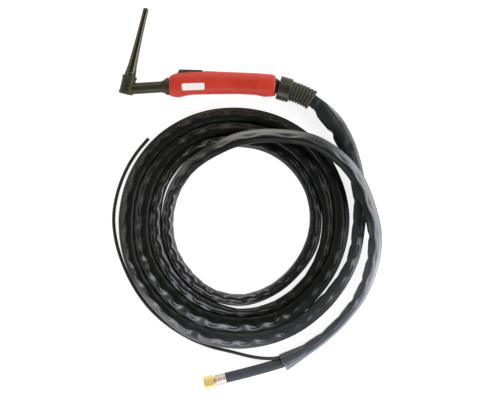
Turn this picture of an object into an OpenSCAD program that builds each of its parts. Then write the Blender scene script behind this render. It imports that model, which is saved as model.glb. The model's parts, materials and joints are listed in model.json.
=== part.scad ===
// TIG torch with a lever switch, a swivelling ball knuckle and a jacketed 4 m hose package.
// The torch lies on its side next to the coiled package, with the back cap fitted and no nozzle.
// The floor is z = 0. The torch group is built about the centre of the knuckle ball, with x along
// the handle towards the hoses, y towards the back cap and z up from the floor.

/* [View] */

// Piece to draw, or all of them

/* [Head and neck] */

// Length of the head along the electrode
head_len = 28; // [24:0.5:34]

// Diameter of the head between its two lips
head_dia = 21; // [19:0.5:25]

// Diameter of the lips at the head's two ends
head_lip_dia = 22.4; // [20:0.2:27]

// Angle between the back cap and a square across the handle
head_tilt = 13.5; // [0:0.5:25]

// Diameter of the brass core
core_dia = 14.9; // [13.5:0.1:16]

// Diameter over the insulated neck
neck_dia = 17; // [14:0.5:20]

// Distance from the handle's front face to the head's centre
neck_reach = 64; // [52:0.5:80]

// Outside diameter of the copper neck tube
neck_tube_dia = 9.5; // [8:0.5:10]

// Bore of the copper neck tube
neck_tube_bore = 6.4; // [5:0.2:7]

// Core diameter of the collet body thread
collet_thread_dia = 8.7; // [8:0.1:9.4]

// Depth of the collet body thread
collet_thread_depth = 9; // [7:0.5:10]

// Largest diameter of the flared bush between neck and handle
bush_dia = 26.5; // [24:0.5:28]

/* [Back cap] */

// Length of the back cap outside the head
cap_len = 105; // [90:1:130]

// Diameter of the cap's gripping base
cap_base_dia = 17.1; // [15:0.1:19]

// Height of the gripping base before the cap narrows
cap_base_len = 6; // [4:0.5:9]

// Diameter where the shoulder ends
cap_shoulder_dia = 14.2; // [12:0.1:15]

// Diameter near the closed end
cap_tip_dia = 8.8; // [7:0.1:10]

// Diameter of the threaded spigot
cap_spigot_dia = 11; // [10:0.1:12]

// Length of the threaded spigot
cap_spigot_len = 9; // [6:0.5:10]

// Bore for the electrode
cap_bore_dia = 3.8; // [3:0.1:4.5]

// Number of grip flutes round the base
cap_flutes = 14; // [8:1:20]

/* [Handle] */

// Wall of the handle shells
wall = 2.2; // [1.6:0.1:2.8]

// Length of the handle in front of the ball centre
handle_front = 155; // [140:1:170]

// Length of the handle behind the ball centre
handle_rear = 3.75; // [3:0.25:5]

// Half the widest thickness of the handle
handle_half = 17.3; // [16.8:0.1:17.8]

// Pitch of the grip teeth along the underside
tooth_pitch = 4.2; // [3:0.1:6]

// Length of one diamond stud on the sides of the grip
stud_len = 3.6; // [2.8:0.1:4.2]

// Height of the diamond studs above the handle's side
stud_rise = 0.35; // [0.2:0.05:0.5]

// Depth of the grip teeth
tooth_depth = 1.4; // [0.4:0.1:1.4]

// Number of grip teeth
tooth_count = 10; // [4:1:12]

// Length of the label plate
label_len = 34; // [24:1:40]

// Width of the label plate
label_w = 10.5; // [8:0.5:12]

// Thickness of the label plate
label_t = 1; // [0.6:0.1:1.2]

// Diameter of the shell screws
screw_dia = 2.9; // [2.4:0.1:3.1]

// Diameter of the shell screw heads
screw_head_dia = 5.6; // [4.6:0.1:5.8]

/* [Switch] */

// Length of the lever over the handle
lever_len = 37.5; // [34:0.5:40]

// Width of the lever
lever_w = 12; // [10:0.5:13]

// Height that the lever stands above the pivot
lever_rise = 5.8; // [5.5:0.1:7]

// Diameter of the lever's pivot pin
pivot_dia = 2; // [1.6:0.1:2.6]

// Diameter of the switch plunger
plunger_dia = 2.4; // [2:0.1:3]

// Length of the switch body
switch_len = 12.8; // [10:0.2:14]

// Height of the switch body
switch_h = 6; // [5:0.1:6.4]

// Thickness of the switch body
switch_t = 6.4; // [5:0.2:8]

/* [Knuckle] */

// Diameter of the knuckle ball
ball_dia = 25.2; // [24:0.1:25.6]

// Bore through the ball and its stem
ball_bore = 16.6; // [14:0.1:17]

// Outside diameter of the ball's stem
stem_dia = 19.2; // [18:0.1:20]

// Wall of the liner round the ball
liner_t = 1.05; // [0.8:0.05:1.3]

// Outside diameter of the swivel ring
swivel_dia = 29.8; // [29:0.1:30]

// Bend of the hose package out of the handle's line at rest
rest_bend = 16; // [0:1:20]

// Outside diameter of the collar
collar_dia = 36; // [32:0.5:36]

// Distance from the ball's centre to the collar's front rim
collar_start = 8.4; // [8:0.1:10]

// Distance from the ball's centre to the collar's back face
collar_end = 28.6; // [26:0.2:32]

// Diameter of the ribs on the bend relief boot
rib_dia = 31; // [28:0.5:33]

// Diameter of the boot between its ribs
boot_dia = 26.8; // [24:0.2:27]

// Number of ribs on the boot
rib_count = 6; // [4:1:8]

// Length of the boot behind the collar
boot_len = 34.6; // [28:0.2:44]

// Radius that the boot's centre line follows
boot_radius = 124; // [100:1:160]

/* [Hose package] */

// Diameter of the jacket with the hoses inside
jacket_dia = 20; // [16:0.5:20]

// Diameter of the power hose at the machine end
hose_dia = 15.6; // [13:0.2:16]

// Diameter of the control cable
cable_dia = 5.2; // [4.4:0.2:5.2]

// Outer radius of the coiled jacket
coil_outer = 184; // [160:1:184]

// Radius of the open middle of the coil
coil_inner = 100; // [80:1:120]

/* [Union] */

// Size of the union nut across its flats
nut_af = 17; // [16:0.5:17]

// Length of the union nut
nut_len = 15.5; // [12:0.5:18]

// Core diameter of the union nut's thread
nut_thread_dia = 11.5; // [11:0.1:12]

// Length of the union nut's thread
nut_thread_len = 7.5; // [6:0.5:8]

// Length of the crimped ferrule
ferrule_len = 17; // [14:0.5:20]

/* [Hidden] */

$fn = 48;

// Running clearance, moulded clearance and the depth by which cuts pass a face
run_gap = 0.05;
mould_gap = 0.1;
over = 0.5;

// Centre of the knuckle ball above the floor
ball_at = [81.6, -40.6, 18];

black = [0.07, 0.07, 0.08];
red = [0.75, 0.2, 0.16];
cream = [0.9, 0.88, 0.8];
olive = [0.3, 0.28, 0.2];
brass = [0.85, 0.68, 0.35];
copper = [0.8, 0.45, 0.3];
steel = [0.72, 0.72, 0.74];
slate = [0.25, 0.27, 0.28];

// Neck line: it starts at the handle's front face and drops towards the head
neck_tilt = 3.66;
neck_drop = 0.84;

// Head: how far its centre lies above the neck line
head_rise = 6.3;

// Derived places on the head
core_end = head_len / 2 - 1.5;
branch_len = 14;
branch_dia = 12;
neck_z = -6.6;

// Back cap seat
cap_seat = head_len / 2 + run_gap;
ring_wire = 0.74;
ring_radius = 6.5;

// Share by which a longer or shorter handle stretches behind its grip teeth
stretch = handle_front / 155;

// Handle outline: distance from the ball, top edge, bottom edge and share of the half thickness
handle_form = [
    [-handle_front, 12.8, -14.0, 0.78],
    [1.4 - handle_front, 14.9, -15.5, 0.84],
    [6 - handle_front, 17.4, -16.8, 0.90],
    [14 - handle_front, 19.8, -17.8, 0.94],
    [24 - handle_front, 20.4, -15.4, 0.95],
    [33 - handle_front, 20.9, -13.8, 0.94],
    [46 - handle_front, 21.2, -13.3, 0.93],
    [56 - handle_front, 22.3, -13.2, 0.94],
    [74 - handle_front, 21.3, -12.9, 0.96],
    [-55 * stretch, 20.4, -12.6, 0.98],
    [-36 * stretch, 19.5, -13.4, 0.99],
    [-25 * stretch, 19.1, -14.1, 1.0],
    [-19 * stretch, 18.7, -15.4, 1.0],
    [-13 * stretch, 18.2, -16.7, 1.0],
    [-5 * stretch, 17.6, -16.4, 0.98],
    [handle_rear - 3.4, 16.8, -15.8, 0.955],
    [handle_rear - 1.1, 15.8, -15.0, 0.9],
    [handle_rear, 14.4, -14.1, 0.83]
];
section_power = 2.5;
form_steps = 2;
arc_steps = 14;

// Diamond studs: first column, lowest row, and how high they reach at the first and last column
stud_start = -56;
stud_low = -7.6;
stud_columns = 8;
stud_rows = 12;
stud_gap = 0.8;
stud_line = [3.4, 8.4];

// Cavity between the front wall and the socket block
cavity_front = 5 - handle_front;
cavity_rear = -15.5;

// Shell screws: place along the handle and height; the head seats on the right shell's bosses
screw_places = [
    [16 - handle_front, -11.2], [58 - handle_front, 16.2], [94 - handle_front, -8.4],
    [-24 * stretch, 12.4]
];
boss_r = 2.9;
screw_seat = 6.5;
screw_reach = 6.6;
screw_head_t = 2.2;

// Lever switch
pivot_at = [47.5 - handle_front, 18];
lever_rear = pivot_at[0] + 2.6;
lever_front = lever_rear - lever_len;
lever_sole = 17.6;
slot_gap = 0.4;
nub_x = pivot_at[0] - 16.5;
nub_low = 16;
switch_rear = pivot_at[0] - 9.1;
switch_low = 7.4;
peg_dia = 1.9;
peg_places = [switch_rear - 2.6, switch_rear - switch_len + 2.6];
peg_y = switch_low + 1.9;
spring_x = pivot_at[0] - 28.5;
spring_low = 9.2;
spring_dia = 5;
spring_wire = 0.7;
spring_turns = 5;

// Neck line from the handle's front face back into the handle
connector_start = 46;
connector_len = 20;
connector_af = 14;
barb_len = 20;
crimp_len = 22;
crimp_dia = 13.4;
handle_hose_dia = 12;
handle_hose_bore = 7;

// Knuckle
liner_gap = 0.05;
liner_out = ball_dia / 2 + liner_gap + liner_t;
ring_in = liner_out + liner_gap;
socket_in = ring_in + liner_gap;
liner_front = -9.5;
liner_rear = 3;
ring_front = -12.5;
ring_rear = -3.5;
ring_bore = 17.8;
stem_end = 24;
collar_wall_x = 12.2;
collar_bore = 26.1;
dish_dia = 31.6;

// Boot along its arc
boot_rim = 5.5;
rib_t = 2.6;
tie_t = 1;
tie_w = 1.9;
tie_valley = 1;

// Coil of the jacket: centre and height
coil_at = [35, -250, 10];

// Jacket from the knuckle stem through the boot to the coil
lead_route = [
    [105, -47.3, 18], [109, -48.5, 18], [120, -52.2, 18], [130.6, -56.9, 18], [140.6, -62.5, 18],
    [155, -73, 17], [166, -87, 14], [174, -100, 11], [190, -132, 10], [206, -167, 10],
    [211, -206, 10]
];

// Jacket from the inside of the coil over the other turns to its open end
tail_route = [
    [-42, -161, 21], [-8, -135, 31], [35, -117, 31], [86, -114, 31], [146, -127, 31],
    [200, -170, 31], [229, -239, 28], [233, -272, 18], [229, -308, 11], [209, -350, 10],
    [189, -378, 10], [159, -407, 10], [125, -432, 10], [94, -453, 10]
];

// Power hose and control cable beyond the jacket's open end
hose_route = [
    [95.1, -454.9, 9.2], [81, -464.45, 9.2], [60, -471, 8.8], [35, -475, 8.8], [11, -479, 8.8],
    [-1.61, -482.14, 8.8]
];
cable_route = [
    [89.2, -446.2, 10], [85.1, -449, 9.9], [79.6, -451.5, 8.8], [72.7, -452.7, 7],
    [64.7, -452.2, 5.2], [56.3, -450.4, 3.9], [47.6, -448.1, 3.1], [38, -445.5, 3],
    [19, -440.3, 3], [-11.8, -432.8, 3], [-41, -421.3, 3], [-74, -401.4, 3], [-102.8, -376, 3],
    [-125.4, -345.6, 3], [-142.3, -312, 3], [-154, -276, 3], [-158.2, -238.6, 3],
    [-152.5, -201.3, 3], [-139.4, -166.5, 3], [-124.2, -141.2, 3], [-105.6, -118.7, 3]
];

// Union fitting at the end of the power hose
union_at = [11, -479, 8.8];
union_turn = 194;
ferrule_wall = 0.8;
ferrule_back = 2.4;
hose_in = 13;
hose_core = 8.2;
tail_body_dia = 9.8;
tail_neck_dia = 6.8;
tail_bore = 5;
nut_start = 18.6;
nut_back = 2.6;
nut_relief = 1.2;
nose_at = 21.6;
nose_dia = 10.8;
nose_end = 25.6;
seal_at = 24.1;
seal_radius = 3.9;
seal_wire = 0.75;

// Wires in the handle
wire_dia = 2;
wire_z = 1.65;
wire_y = 9.4;
wire_rise = 6.2;

// Half the length over which the hose turns through the knuckle
knuckle_lead = 13;

// Frames

module torch_frame() {
    translate(ball_at) children();
}

module neck_frame() {
    translate([-handle_front, -neck_drop, 0]) rotate([0, 0, neck_tilt]) children();
}

// z runs along the electrode, away from the nozzle
module head_frame() {
    neck_frame()
        translate([-neck_reach, 0, 0])
        rotate([0, 0, -neck_tilt - head_tilt])
        translate([0, head_rise, 0])
        rotate([-90, 0, 0])
        children();
}

// x runs along the hose package as it leaves the ball
module stem_frame() {
    rotate([0, 0, -rest_bend]) children();
}

module union_frame() {
    translate(union_at) rotate([0, 0, union_turn]) children();
}

// Turns a flat shape about x; the shape is drawn with the radius across and x upwards
module spun() {
    rotate([90, 0, 90]) rotate_extrude($fn = 96) children();
}

// Solid of revolution whose profile is drawn as [distance along x, radius]
module turned(profile) {
    spun() polygon([for (p = profile) [p[1], p[0]]]);
}

// Round bar along x from one place to another
module bar(from, to, dia) {
    translate([from, 0, 0]) rotate([0, 90, 0]) cylinder(d = dia, h = to - from);
}

// Round bar along z from one height to another
module post(x, y, from, to, dia) {
    translate([x, y, from]) cylinder(d = dia, h = to - from);
}

// Closed solid through equal rings of points
module lofted(points, sides, rings) {
    skin = [for (i = [0 : rings - 2], k = [0 : sides - 1])
        let (a = i * sides + k, b = i * sides + (k + 1) % sides)
        each [[a, b, b + sides], [a, b + sides, a + sides]]];
    start = [[for (k = [sides - 1 : -1 : 0]) k]];
    finish = [[for (k = [0 : sides - 1]) (rings - 1) * sides + k]];
    polyhedron(points = points, faces = concat(skin, start, finish), convexity = 6);
}

// Swept tubes

function unit(v) = v / norm(v);

function heading(path, i) =
    unit(path[min(i + 1, len(path) - 1)] - path[max(i - 1, 0)]);

function side_of(t) = unit(cross(t, [0, 0, 1]));

function ring_at(path, i, r, sides) =
    let (t = heading(path, i), s = side_of(t), u = cross(s, t))
    [for (k = [0 : sides - 1])
        path[i] + r * (cos(360 * k / sides) * s + sin(360 * k / sides) * u)];

module swept(path, dia, sides) {
    lofted([for (i = [0 : len(path) - 1]) each ring_at(path, i, dia / 2, sides)], sides, len(path));
}

// Handle form

function slope(i, c) =
    let (a = max(i - 1, 0), b = min(i + 1, len(handle_form) - 1))
    (handle_form[b][c] - handle_form[a][c]) / (handle_form[b][0] - handle_form[a][0]);

function span_of(x, i = 0) =
    i >= len(handle_form) - 2 || x < handle_form[i + 1][0] ? i : span_of(x, i + 1);

function form_at(x, c) =
    let (
        i = span_of(x),
        w = handle_form[i + 1][0] - handle_form[i][0],
        t = (x - handle_form[i][0]) / w
    )
    handle_form[i][c] * (2 * t * t * t - 3 * t * t + 1)
        + slope(i, c) * w * (t * t * t - 2 * t * t + t)
        + handle_form[i + 1][c] * (3 * t * t - 2 * t * t * t)
        + slope(i + 1, c) * w * (t * t * t - t * t);

function mid_y(x) = (form_at(x, 1) + form_at(x, 2)) / 2;
function half_y(x, inset) = (form_at(x, 1) - form_at(x, 2)) / 2 - inset;
function half_z(x, inset) = handle_half * form_at(x, 3) - inset;

// Height of the handle's side over a point of its mid plane
function side_z(x, y, inset) =
    half_z(x, inset)
        * pow(max(0, 1 - pow(abs(y - mid_y(x)) / half_y(x, inset), section_power)), 1 / section_power);

// Half section, closed on the mid plane or, with an inset, a little below it
function section(x, inset) =
    let (
        arc = [for (k = [0 : arc_steps])
            let (a = -90 + 180 * k / arc_steps)
            [x,
             mid_y(x) + half_y(x, inset) * sign(a) * pow(abs(sin(a)), 2 / section_power),
             half_z(x, inset) * pow(max(0, cos(a)), 2 / section_power)]]
    )
    inset == 0
        ? arc
        : concat([arc[0] - [0, 0, over]], arc, [arc[arc_steps] - [0, 0, over]]);

// Half of the handle's form between two places
module half_form(from, to, inset) {
    inner = [for (i = [0 : len(handle_form) - 2], s = [0 : form_steps - 1])
        let (x = handle_form[i][0] + s * (handle_form[i + 1][0] - handle_form[i][0]) / form_steps)
        if (x > from + 0.6 && x < to - 0.6) x];
    xs = concat([from], inner, [to]);
    sections = [for (x = xs) section(x, inset)];
    lofted([for (s = sections) each s], len(sections[0]), len(xs));
}

// Head

module head_core() {
    color(brass) torch_frame() difference() {
        union() {
            head_frame() translate([0, 0, -core_end]) cylinder(d = core_dia, h = 2 * core_end);
            neck_frame() bar(-neck_reach, branch_len - neck_reach, branch_dia);
        }
        head_frame() {
            translate([0, 0, -core_end - over]) cylinder(d = collet_thread_dia, h = collet_thread_depth + over);
            translate([0, 0, core_end - cap_spigot_len - 1.5])
                cylinder(d = cap_spigot_dia + 2 * mould_gap, h = cap_spigot_len + 2);
            translate([0, 0, -core_end]) cylinder(d = 4.4, h = 2 * core_end);
        }
        neck_frame() {
            bar(branch_len - neck_reach - 7, branch_len - neck_reach + over, neck_tube_dia + 2 * run_gap);
            bar(-neck_reach, branch_len - neck_reach, 4.4);
        }
    }
}

module head_insulation() {
    lip = (head_lip_dia - head_dia) / 2;
    h = head_len / 2;
    r = head_dia / 2;
    color(black) torch_frame() difference() {
        union() {
            head_frame() rotate_extrude($fn = 96) polygon([
                [0, -h], [r - 0.6, -h], [r + lip, -h + 1.6], [r + lip, -h + 3.4], [r, -h + 4.6],
                [r, h - 4.6], [r + lip, h - 3.6], [r + lip, h - 1.4], [r, h], [0, h]
            ]);
            neck_frame() bar(-neck_reach, -1, neck_dia);
        }
        head_frame() translate([0, 0, -h - over])
            cylinder(d = core_dia + 2 * run_gap, h = head_len + 2 * over);
        neck_frame() {
            bar(-neck_reach, branch_len - neck_reach + run_gap, branch_dia + 2 * run_gap);
            bar(-neck_reach, over, neck_tube_dia + 2 * run_gap);
        }
    }
}

module neck_tube() {
    start = branch_len - neck_reach - 7 + run_gap;
    color(copper) torch_frame() neck_frame() difference() {
        bar(start, connector_start + 8, neck_tube_dia);
        bar(start - over, connector_start + 8 + over, neck_tube_bore);
    }
}

// Flared bush, held by its flange behind the handle's front wall
module neck_bush() {
    r = bush_dia / 2;
    color(black) torch_frame() neck_frame() difference() {
        turned([
            [-11, 0], [-11, neck_dia / 2 + 0.5], [-8, neck_dia / 2 + 1.6], [-4.6, r - 0.6], [-4, r],
            [-run_gap, r], [-run_gap, r - 2.7], [4 + run_gap, r - 2.7], [4 + run_gap, r - 1.1],
            [6, r - 1.1], [6, 0]
        ]);
        bar(-11 - over, -1 + run_gap, neck_dia + 2 * run_gap);
        bar(-2, 6 + over, neck_tube_dia + 2 * run_gap);
    }
}

// Back cap

module back_cap() {
    base = cap_base_dia / 2;
    shoulder = cap_shoulder_dia / 2;
    tip = cap_tip_dia / 2;
    dome = cap_len - tip * 0.75;
    color(black) torch_frame() head_frame() translate([0, 0, cap_seat]) difference() {
        rotate_extrude($fn = 96) polygon(concat(
            [
                [0, -cap_spigot_len], [cap_spigot_dia / 2 - 0.6, -cap_spigot_len],
                [cap_spigot_dia / 2, -cap_spigot_len + 0.6], [cap_spigot_dia / 2, 0],
                [base - 0.4, 0], [base, 0.6], [base, cap_base_len - 1.5], [base - 0.4, cap_base_len],
                [shoulder + 0.7, cap_base_len + 4.6], [shoulder + 0.1, cap_base_len + 7],
                [shoulder - 0.3, cap_base_len + 12]
            ],
            [for (k = [1 : 8])
                let (z = cap_base_len + 12 + (dome - cap_base_len - 12) * k / 8)
                [tip + (shoulder - 0.3 - tip) * pow(1 - k / 8, 1.9), z]],
            [for (a = [15 : 15 : 90]) [tip * cos(a), dome + tip * 0.75 * sin(a)]]
        ));
        translate([0, 0, -cap_spigot_len - over])
            cylinder(d = cap_bore_dia, h = cap_spigot_len + cap_len - 7 + over);
        for (k = [0 : cap_flutes - 1])
            rotate([0, 0, 360 * k / cap_flutes]) translate([base + 0.75, 0, 1.2])
                cylinder(r = 1.3, h = cap_base_len + 12, $fn = 24);
    }
}

module cap_o_ring() {
    color(black) torch_frame() head_frame() translate([0, 0, core_end + ring_wire + 0.01])
        rotate_extrude($fn = 96) translate([ring_radius, 0]) circle(r = ring_wire, $fn = 24);
}

// Handle shells

// Form shared by the two shells, drawn as the half on the +z side
module shell_half() {
    difference() {
        union() {
            difference() {
                half_form(-handle_front, handle_rear, 0);
                half_form(cavity_front, cavity_rear, wall);
            }
            intersection() {
                half_form(cavity_front - 1, cavity_rear + 1, 1);
                shell_fittings();
            }
            for (x = peg_places) post(x, peg_y, 0.15, switch_t / 2 + 1, peg_dia);
            grip_studs();
        }
        neck_frame() {
            bar(-5, 0, 2 * bush_dia);
            bar(-4, 8, bush_dia - 5.4 + 2 * run_gap);
            bar(4, 9, bush_dia - 2.2 + 2 * run_gap);
        }
        socket_space();
        lever_slot();
        grip_cuts();
    }
}

// Bosses, posts and ribs inside a shell, all as deep as the shell
module shell_fittings() {
    for (p = screw_places) {
        post(p[0], p[1], 0, handle_half, 2 * boss_r);
        translate([p[0] - 1, p[1] > mid_y(p[0]) ? p[1] : p[1] - 9, 0]) cube([2, 9, handle_half]);
    }
    post(pivot_at[0], pivot_at[1], lever_w / 2 + slot_gap, handle_half, 5.2);
    for (x = peg_places) post(x, peg_y, switch_t / 2 + mould_gap, handle_half, 4.4);
    translate([spring_x - 3.4, spring_low - 1.6, 0]) cube([6.8, 1.6, handle_half]);
    cradle(connector_start - 4, neck_tube_dia + 2 * mould_gap, 5.4);
    cradle(connector_start + connector_len + 10, crimp_dia + 2 * mould_gap, 5.4);
}

// Rib that carries a round piece on the neck line
module cradle(at, hole, top) {
    low = -handle_half;
    difference() {
        translate([at - handle_front - 1, low, 0]) cube([2, top - low, handle_half]);
        neck_frame() bar(at - 4, at + 4, hole);
    }
}

// Diamond studs on the side of the grip: rows along the handle, every other one shifted by half
module grip_studs() {
    w = stud_len * 0.55;
    for (row = [0 : stud_rows - 1], k = [0 : stud_columns - 1]) {
        x = stud_start * stretch + (k + (row % 2) / 2) * (stud_len + stud_gap);
        y = stud_low + row * (w + stud_gap) / 2;
        if (y < stud_line[0] + (stud_line[1] - stud_line[0]) * (k + 0.5) / stud_columns) {
            tilt = atan((side_z(x, y + w / 2, 0) - side_z(x, y - w / 2, 0)) / w);
            translate([x, y, side_z(x, y, 0)]) rotate([tilt, 0, 0]) scale([stud_len / w, 1, 1])
                translate([0, 0, -0.6]) cylinder(
                    r1 = w / 2 + 0.25, r2 = w / 2 - 0.45, h = 0.6 + stud_rise, $fn = 4);
        }
    }
}

// Space for the ball, its liner and the swivel ring
module socket_space() {
    bar(cavity_rear - over, ring_front - run_gap + over, ring_bore + 1);
    bar(ring_front - run_gap, ring_rear + run_gap, swivel_dia + 2 * run_gap);
    sphere(r = socket_in, $fn = 96);
}

module lever_slot() {
    half = lever_w / 2 + slot_gap;
    translate([lever_front - slot_gap, 13.4, -over])
        cube([lever_len + 2 * slot_gap, 20, half + over]);
    post(pivot_at[0], pivot_at[1], -over, lever_w / 2 + 2.8, pivot_dia + 2 * run_gap);
}

// Teeth across the underside of the grip
module grip_cuts() {
    start = 63 - handle_front;
    low = form_at(start + 20, 2);
    translate([0, 0, -over]) linear_extrude(9.5) polygon(concat(
        [[start, low - 4]],
        [for (k = [0 : tooth_count - 1])
            each [
                [start + k * tooth_pitch, low - 0.8],
                [start + (k + 0.25) * tooth_pitch, low + tooth_depth - 0.3],
                [start + (k + 0.85) * tooth_pitch, low - 0.8]
            ]],
        [[start + tooth_count * tooth_pitch, low - 4]]
    ));
}

module handle_left() {
    color(red) torch_frame() difference() {
        shell_half();
        for (p = screw_places) post(p[0], p[1], -over, screw_reach + 0.4, screw_dia + 2 * run_gap);
        label_seat() label_form(label_len + 0.3, label_w + 0.3, 8);
    }
}

module handle_right() {
    color(red) torch_frame() mirror([0, 0, 1]) difference() {
        shell_half();
        for (p = screw_places) {
            post(p[0], p[1], -over, screw_seat + over, screw_dia + 2 * mould_gap);
            post(p[0], p[1], screw_seat, handle_half + over, screw_head_dia + 2 * mould_gap);
        }
    }
}

// The four shell screws are alike
module handle_screws() {
    color(steel) torch_frame() for (p = screw_places) difference() {
        union() {
            post(p[0], p[1], -screw_seat, screw_reach, screw_dia);
            post(p[0], p[1], -screw_seat - screw_head_t, -screw_seat, screw_head_dia);
        }
        post(p[0], p[1], -screw_seat - screw_head_t - over, -screw_seat - screw_head_t + 1.4, 2.4);
    }
}

// The label lies along the chord of the handle's side
module label_seat() {
    x = 36 - handle_front;
    y = -2.1;
    reach = label_w / 2;
    high = side_z(x, y + reach, 0);
    low = side_z(x, y - reach, 0);
    translate([x, y, (high + low) / 2 - label_t + 0.25])
        rotate([atan((high - low) / label_w), 0, 2])
        children();
}

module label_form(length, width, height) {
    r = 2.4;
    linear_extrude(height) {
        square([length - 2 * r, width], center = true);
        square([length, width - 2 * r], center = true);
        for (i = [-1, 1], j = [-1, 1])
            translate([i * (length / 2 - r), j * (width / 2 - r)]) circle(r = r);
    }
}

module label_plate() {
    color(cream) torch_frame() label_seat() label_form(label_len, label_w, label_t);
}

// Lever switch

module lever_section(top) {
    r = 1.5;
    w = lever_w / 2;
    translate([10, -w]) square([top - r - 10, lever_w]);
    translate([10, r - w]) square([top - 10, lever_w - 2 * r]);
    for (j = [-1, 1]) translate([top - r, j * (w - r)]) circle(r = r);
}

module trigger_lever() {
    tip = lever_front;
    top = pivot_at[1] + lever_rise;
    color(olive) torch_frame() difference() {
        union() {
            intersection() {
                translate([0, 0, -lever_w / 2]) linear_extrude(lever_w) polygon([
                    [tip + 0.3, lever_sole], [tip, 20], [tip + 2.2, top + 0.2], [tip + 3.4, top + 0.6],
                    [pivot_at[0], top - 0.5], [lever_rear - 0.4, top - 0.8],
                    [lever_rear, top - 1.4], [lever_rear, lever_sole]
                ]);
                translate([-handle_front, 0, 0]) rotate([90, 0, 90]) linear_extrude(handle_front - 100)
                    lever_section(top + 0.6);
            }
            post(pivot_at[0], pivot_at[1], -lever_w / 2, lever_w / 2, 5);
            upright(nub_x, nub_low, lever_sole + 1, 3);
            upright(spring_x, lever_sole - 1, lever_sole + 1, spring_dia - 2 * spring_wire - 0.4);
        }
        post(pivot_at[0], pivot_at[1], -handle_half, handle_half, pivot_dia + 2 * run_gap);
    }
}

// Round bar along y
module upright(x, from, to, dia) {
    translate([x, from, 0]) rotate([-90, 0, 0]) cylinder(d = dia, h = to - from);
}

module trigger_pin() {
    reach = lever_w / 2 + 2.7;
    color(steel) torch_frame() post(pivot_at[0], pivot_at[1], -reach, reach, pivot_dia);
}

// Compression spring between the shelf and the lever's sole
module trigger_spring() {
    rise = lever_sole - spring_low - spring_wire - 0.02;
    r = (spring_dia - spring_wire) / 2;
    steps = spring_turns * 12;
    path = [for (k = [0 : steps])
        [r * cos(360 * k / 12), r * sin(360 * k / 12), rise * k / steps]];
    color(steel) torch_frame() translate([spring_x, spring_low + spring_wire / 2 + 0.01, 0])
        rotate([-90, 0, 0]) swept(path, spring_wire, 8);
}

module switch_body() {
    color(black) torch_frame() difference() {
        translate([switch_rear - switch_len, switch_low, -switch_t / 2])
            cube([switch_len, switch_h, switch_t]);
        upright(nub_x, switch_low + 2, switch_low + switch_h + over, plunger_dia + 2 * run_gap);
        for (x = peg_places) post(x, peg_y, -switch_t, switch_t, peg_dia + 2 * run_gap);
    }
}

module switch_plunger() {
    color(red) torch_frame() upright(nub_x, switch_low + 3.6, nub_low - 0.02, plunger_dia);
}

module switch_terminals() {
    color(brass) torch_frame() for (z = [-wire_z, wire_z])
        translate([switch_rear, wire_y - 1.1, z - 0.3]) cube([5, 2.2, 0.6]);
}

// Two wires from the switch through the knuckle to the hose package
module switch_wires() {
    start = [switch_rear + 5.3, wire_y, 0];
    over_hose = [[51, 11.3], [59, 11.9], [71, 12.2], [85, 12.7]];
    behind_hose = [[0.23, 12.5], [0.44, 11.4], [0.63, 9.2], [0.84, 7]];
    last = 85 - handle_front;
    color(copper) torch_frame() for (z = [-wire_z, wire_z])
        swept(concat(
            [start + [0, 0, z]],
            [for (p = over_hose) [p[0] - handle_front, p[1], z]],
            [for (p = behind_hose) [last - (last + knuckle_lead) * p[0], p[1], z]],
            [for (s = [-knuckle_lead : knuckle_lead / 3 : knuckle_lead]) hose_line(s, wire_rise, z)],
            [hose_line(stem_end - 0.1, wire_rise, z)]
        ), wire_dia, 8);
}

// Point of the line through the knuckle, a distance along it from the bend and off to one side
function hose_line(s, off, z) =
    let (
        r = knuckle_lead / tan(rest_bend / 2),
        a = rest_bend * max(0, min(1, (s + knuckle_lead) / (2 * knuckle_lead))),
        on = s - max(-knuckle_lead, min(knuckle_lead, s))
    )
    [
        -knuckle_lead + (r + off) * sin(a) + on * cos(a),
        -r + (r + off) * cos(a) - on * sin(a),
        z
    ];

// Connector

module torch_connector() {
    shoulder = connector_start + 12;
    back = connector_start + connector_len;
    color(brass) torch_frame() neck_frame() difference() {
        union() {
            translate([connector_start, 0, 0]) rotate([0, 90, 0])
                cylinder(d = connector_af / cos(30), h = 12, $fn = 6);
            bar(shoulder - 0.5, back - 1, handle_hose_dia + 1);
            turned([
                [back - 1.5, 0], [back - 1.5, handle_hose_bore / 2 - 0.5], [back, handle_hose_bore / 2 - 0.5],
                for (k = [0 : 3]) each [
                    [back + 2 + 4 * k, handle_hose_bore / 2 - 0.5],
                    [back + 2 + 4 * k, handle_hose_bore / 2 - run_gap],
                    [back + 6 + 4 * k, handle_hose_bore / 2 - 0.5]
                ],
                [back + barb_len, 0]
            ]);
        }
        bar(connector_start - over, connector_start + 8 + run_gap, neck_tube_dia + 2 * run_gap);
        bar(connector_start, back + barb_len + over, 4);
    }
}

module crimp_ferrule() {
    start = connector_start + connector_len - 0.95;
    color(steel) torch_frame() neck_frame() difference() {
        turned([
            [start, 0], [start, crimp_dia / 2],
            for (k = [0 : 2]) each [
                [start + 4 + 5 * k, crimp_dia / 2], [start + 4.6 + 5 * k, crimp_dia / 2 - 0.3],
                [start + 6.4 + 5 * k, crimp_dia / 2 - 0.3], [start + 7 + 5 * k, crimp_dia / 2]
            ],
            [start + crimp_len, crimp_dia / 2], [start + crimp_len, 0]
        ]);
        bar(start - over, start + crimp_len + over, handle_hose_dia + 2 * run_gap);
    }
}

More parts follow.
